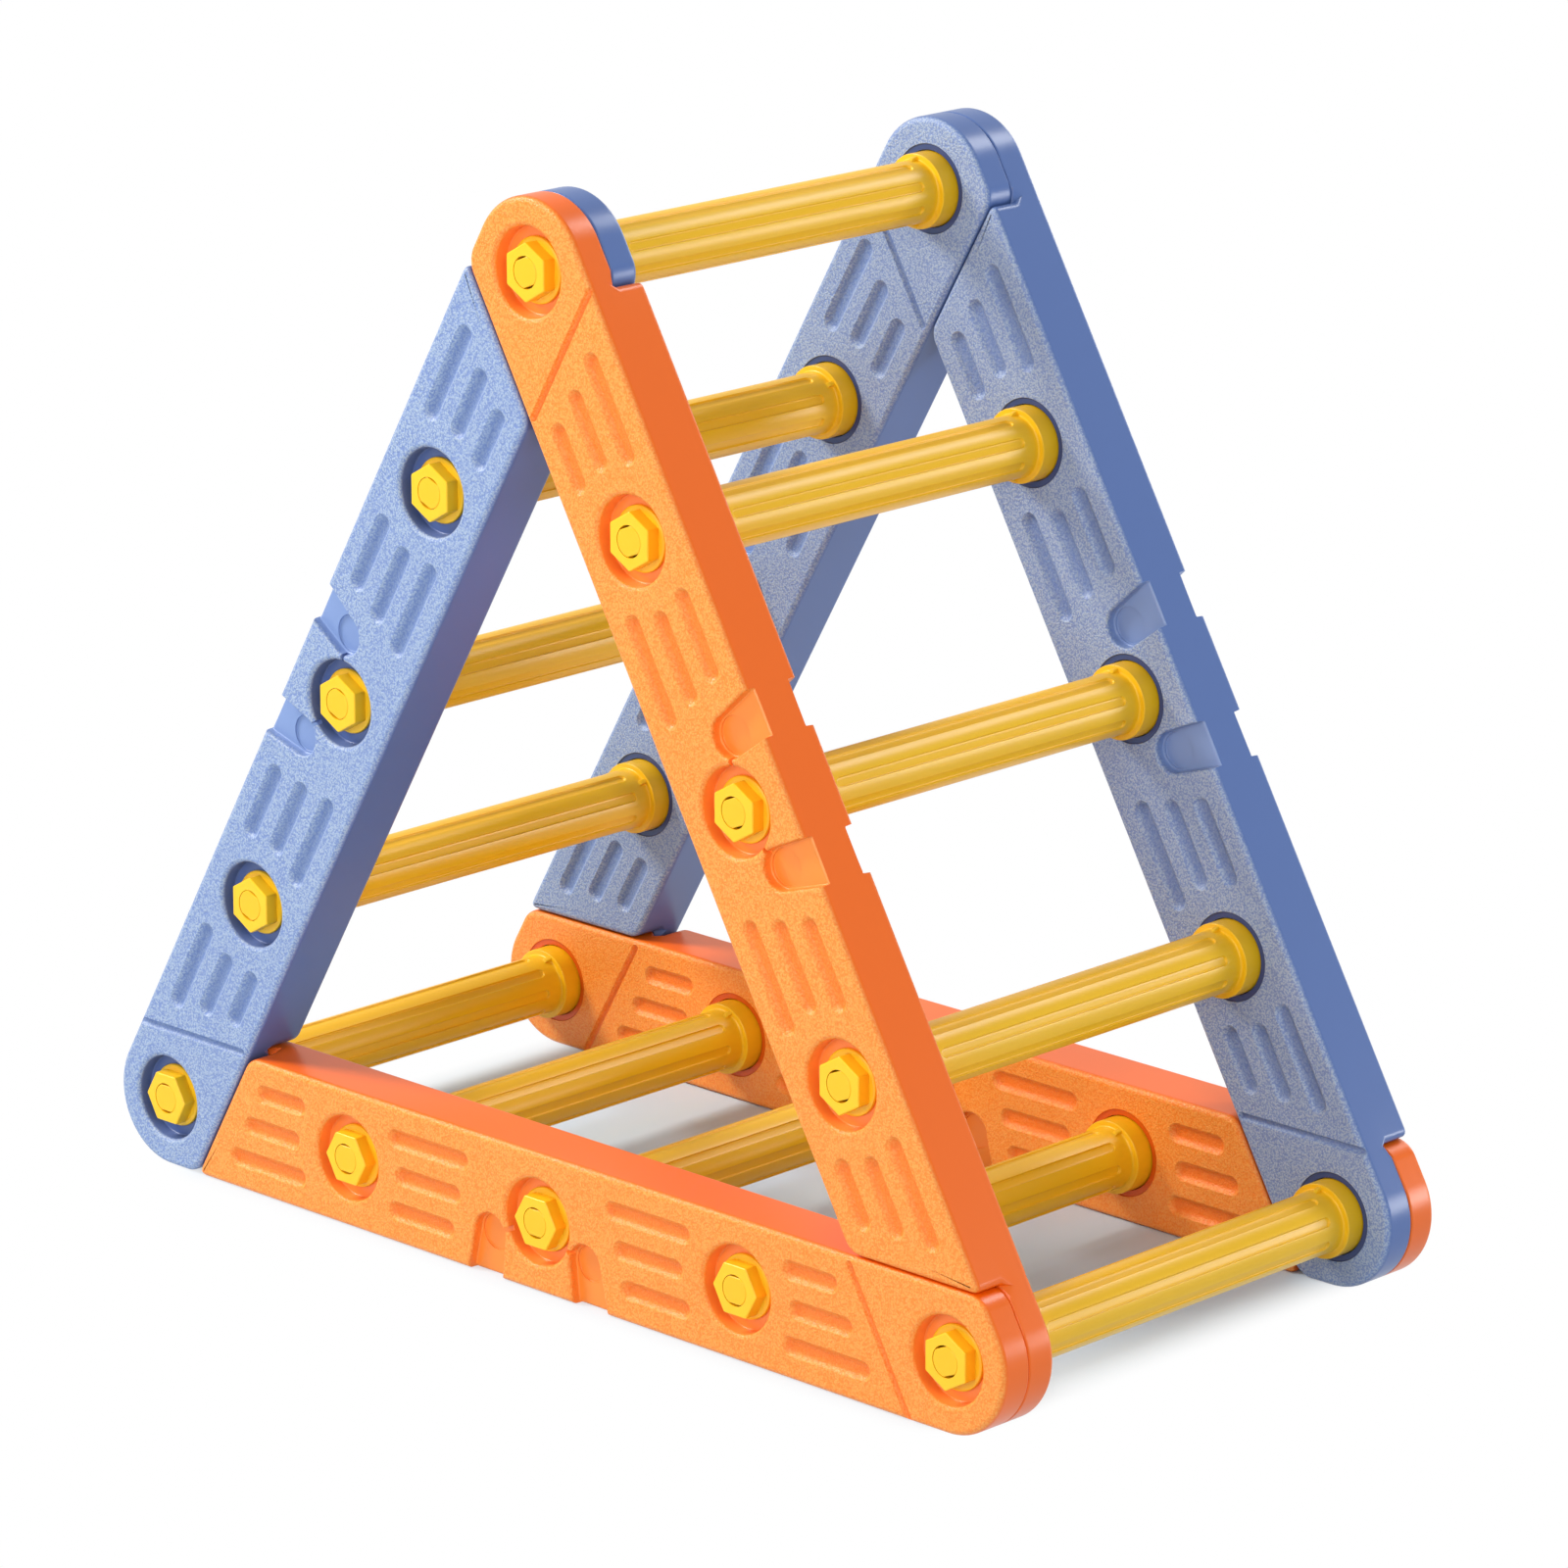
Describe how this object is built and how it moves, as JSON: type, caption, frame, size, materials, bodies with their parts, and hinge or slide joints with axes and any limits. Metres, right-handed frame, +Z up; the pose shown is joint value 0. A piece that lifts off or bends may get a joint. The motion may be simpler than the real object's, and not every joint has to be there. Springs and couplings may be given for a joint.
{
  "type": "climbing frame",
  "caption": "Low triangular climbing frame for small children: two bolted triangles of moulded bars joined by round fluted rungs held with hex nuts.",
  "frame": {"origin": "middle of the footprint, on the floor", "axes": "+X along the base bars, +Y along the rungs from the front triangle to the back one, +Z up"},
  "size_m": [0.6338, 0.322, 0.559],
  "materials": {
    "blue_bar": "fine leather grain on the broad faces, satin on the edges",
    "orange_bar": "fine leather grain on the broad faces, satin on the edges",
    "yellow_rung": "smooth semi-gloss",
    "yellow_nut": "smooth semi-gloss"
  },
  "bodies": {
    "root": {"front_left_bar": "blue_bar", "front_right_bar": "orange_bar", "front_base_bar": "orange_bar", "back_left_bar": "blue_bar", "back_right_bar": "blue_bar", "back_base_bar": "orange_bar", "top_rung": "yellow_rung", "left_upper_rung": "yellow_rung", "left_middle_rung": "yellow_rung", "left_lower_rung": "yellow_rung", "right_upper_rung": "yellow_rung", "right_middle_rung": "yellow_rung", "right_lower_rung": "yellow_rung", "base_left_rung": "yellow_rung", "base_middle_rung": "yellow_rung", "base_right_rung": "yellow_rung", "left_corner_rung": "yellow_rung", "right_corner_rung": "yellow_rung", "front_nuts": "yellow_nut", "back_nuts": "yellow_nut"}
  },
  "joints": []
}
